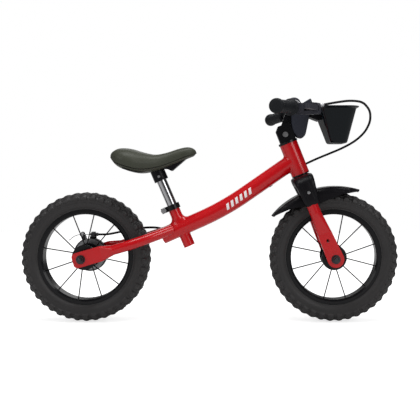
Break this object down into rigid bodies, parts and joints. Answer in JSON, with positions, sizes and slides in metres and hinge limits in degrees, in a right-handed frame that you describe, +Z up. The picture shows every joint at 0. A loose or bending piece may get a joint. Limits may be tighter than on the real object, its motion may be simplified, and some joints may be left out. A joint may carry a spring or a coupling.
{
  "type": "balance bike",
  "caption": "Child's pedal-free balance bike with a curved main tube, spoked wheels, rear band brake with hand lever, clamped saddle height, mudguard and handlebar basket.",
  "frame": {"origin": "on the ground, midway between the two axles, in the middle plane", "axes": "+X forward, +Y to the rider's left, +Z up"},
  "size_m": [0.8458, 0.414, 0.5018],
  "materials": {
    "frame_red": "gloss red paint",
    "tyre": "matte foam rubber",
    "black_metal": "gloss black paint",
    "black_plastic": "gloss moulded",
    "slate_plastic": "fine matte texture",
    "black_rubber": "matte",
    "saddle_vinyl": "satin vinyl",
    "chrome": "polished",
    "steel": "zinc plated"
  },
  "bodies": {
    "frame": {"main_tube": "frame_red", "head_tube": "frame_red", "seat_tube": "frame_red", "chainstay_left": "frame_red", "chainstay_right": "frame_red", "headset_cups": "black_metal", "seat_clamp": "black_metal", "seat_clamp_bolt": "steel", "rear_axle": "steel", "rear_axle_nuts": "steel", "rear_axle_spacers": "steel", "brake_carrier": "black_metal", "brake_band": "black_metal", "brake_cable_stop": "steel", "brake_bolts": "steel", "brake_cable_rear": "black_rubber", "cable_clips": "black_plastic"},
    "steering": {"steerer_tube": "black_metal", "fork_crown": "black_metal", "fork_leg_left": "frame_red", "fork_leg_right": "frame_red", "crown_cover": "black_plastic", "crown_screws": "steel", "front_mudguard": "black_plastic", "stem": "black_metal", "stem_bolt": "steel", "handlebar": "black_metal", "grip_left": "black_rubber", "grip_right": "black_rubber", "handlebar_cover": "slate_plastic", "basket": "black_plastic", "basket_bracket": "black_plastic", "basket_screws": "steel", "front_axle": "steel", "front_axle_nuts": "steel", "front_axle_spacers": "steel", "brake_perch": "slate_plastic", "lever_pin": "steel", "lever_barrel": "steel", "brake_cable_front": "black_rubber"},
    "brake_lever": {"brake_lever": "slate_plastic"},
    "brake_arm": {"brake_arm": "black_metal", "brake_pinch_bolt": "steel", "brake_wire": "steel"},
    "front_wheel": {"front_tyre": "tyre", "front_rim": "black_metal", "front_spokes": "black_metal", "front_hub": "black_metal", "front_bearings": "steel"},
    "rear_wheel": {"rear_tyre": "tyre", "rear_rim": "black_metal", "rear_spokes": "black_metal", "rear_hub": "black_metal", "rear_bearings": "steel", "brake_drum": "steel"},
    "seat": {"seatpost": "chrome", "saddle_pad": "saddle_vinyl", "saddle_base": "black_plastic", "saddle_clamp": "black_plastic", "saddle_bolt": "steel"}
  },
  "joints": [
    {"name": "steering", "type": "hinge", "parent": "frame", "child": "steering", "pos_m": [0.278, 0, 0.145], "axis": [-0.3681, 0, 0.9298], "range_deg": [-45, 45], "deforming": ["brake_cable_front"]},
    {"name": "front_wheel_spin", "type": "hinge", "parent": "steering", "child": "front_wheel", "pos_m": [0.278, 0, 0.145], "axis": [0, 1, 0], "continuous": true},
    {"name": "rear_wheel_spin", "type": "hinge", "parent": "frame", "child": "rear_wheel", "pos_m": [-0.278, 0, 0.145], "axis": [0, 1, 0], "continuous": true},
    {"name": "seat_height", "type": "slide", "parent": "frame", "child": "seat", "axis": [-0.3955, 0, 0.9184], "range_m": [-0.025, 0.02]},
    {"name": "lever_pull", "type": "hinge", "parent": "steering", "child": "brake_lever", "pos_m": [0.2212, -0.11481, 0.46856], "axis": [0, 0, -1], "range_deg": [0, 18], "stiffness_Nm_per_rad": 0.5, "springref_deg": -5.73},
    {"name": "brake_arm_turn", "type": "hinge", "parent": "frame", "child": "brake_arm", "pos_m": [-0.292, 0.047, 0.17], "axis": [0, 1, 0], "range_deg": [0, 12], "deforming": ["brake_wire"]}
  ],
  "couplings": [
    {"joint": "brake_arm_turn", "follows": "lever_pull", "ratio": 0.6}
  ]
}
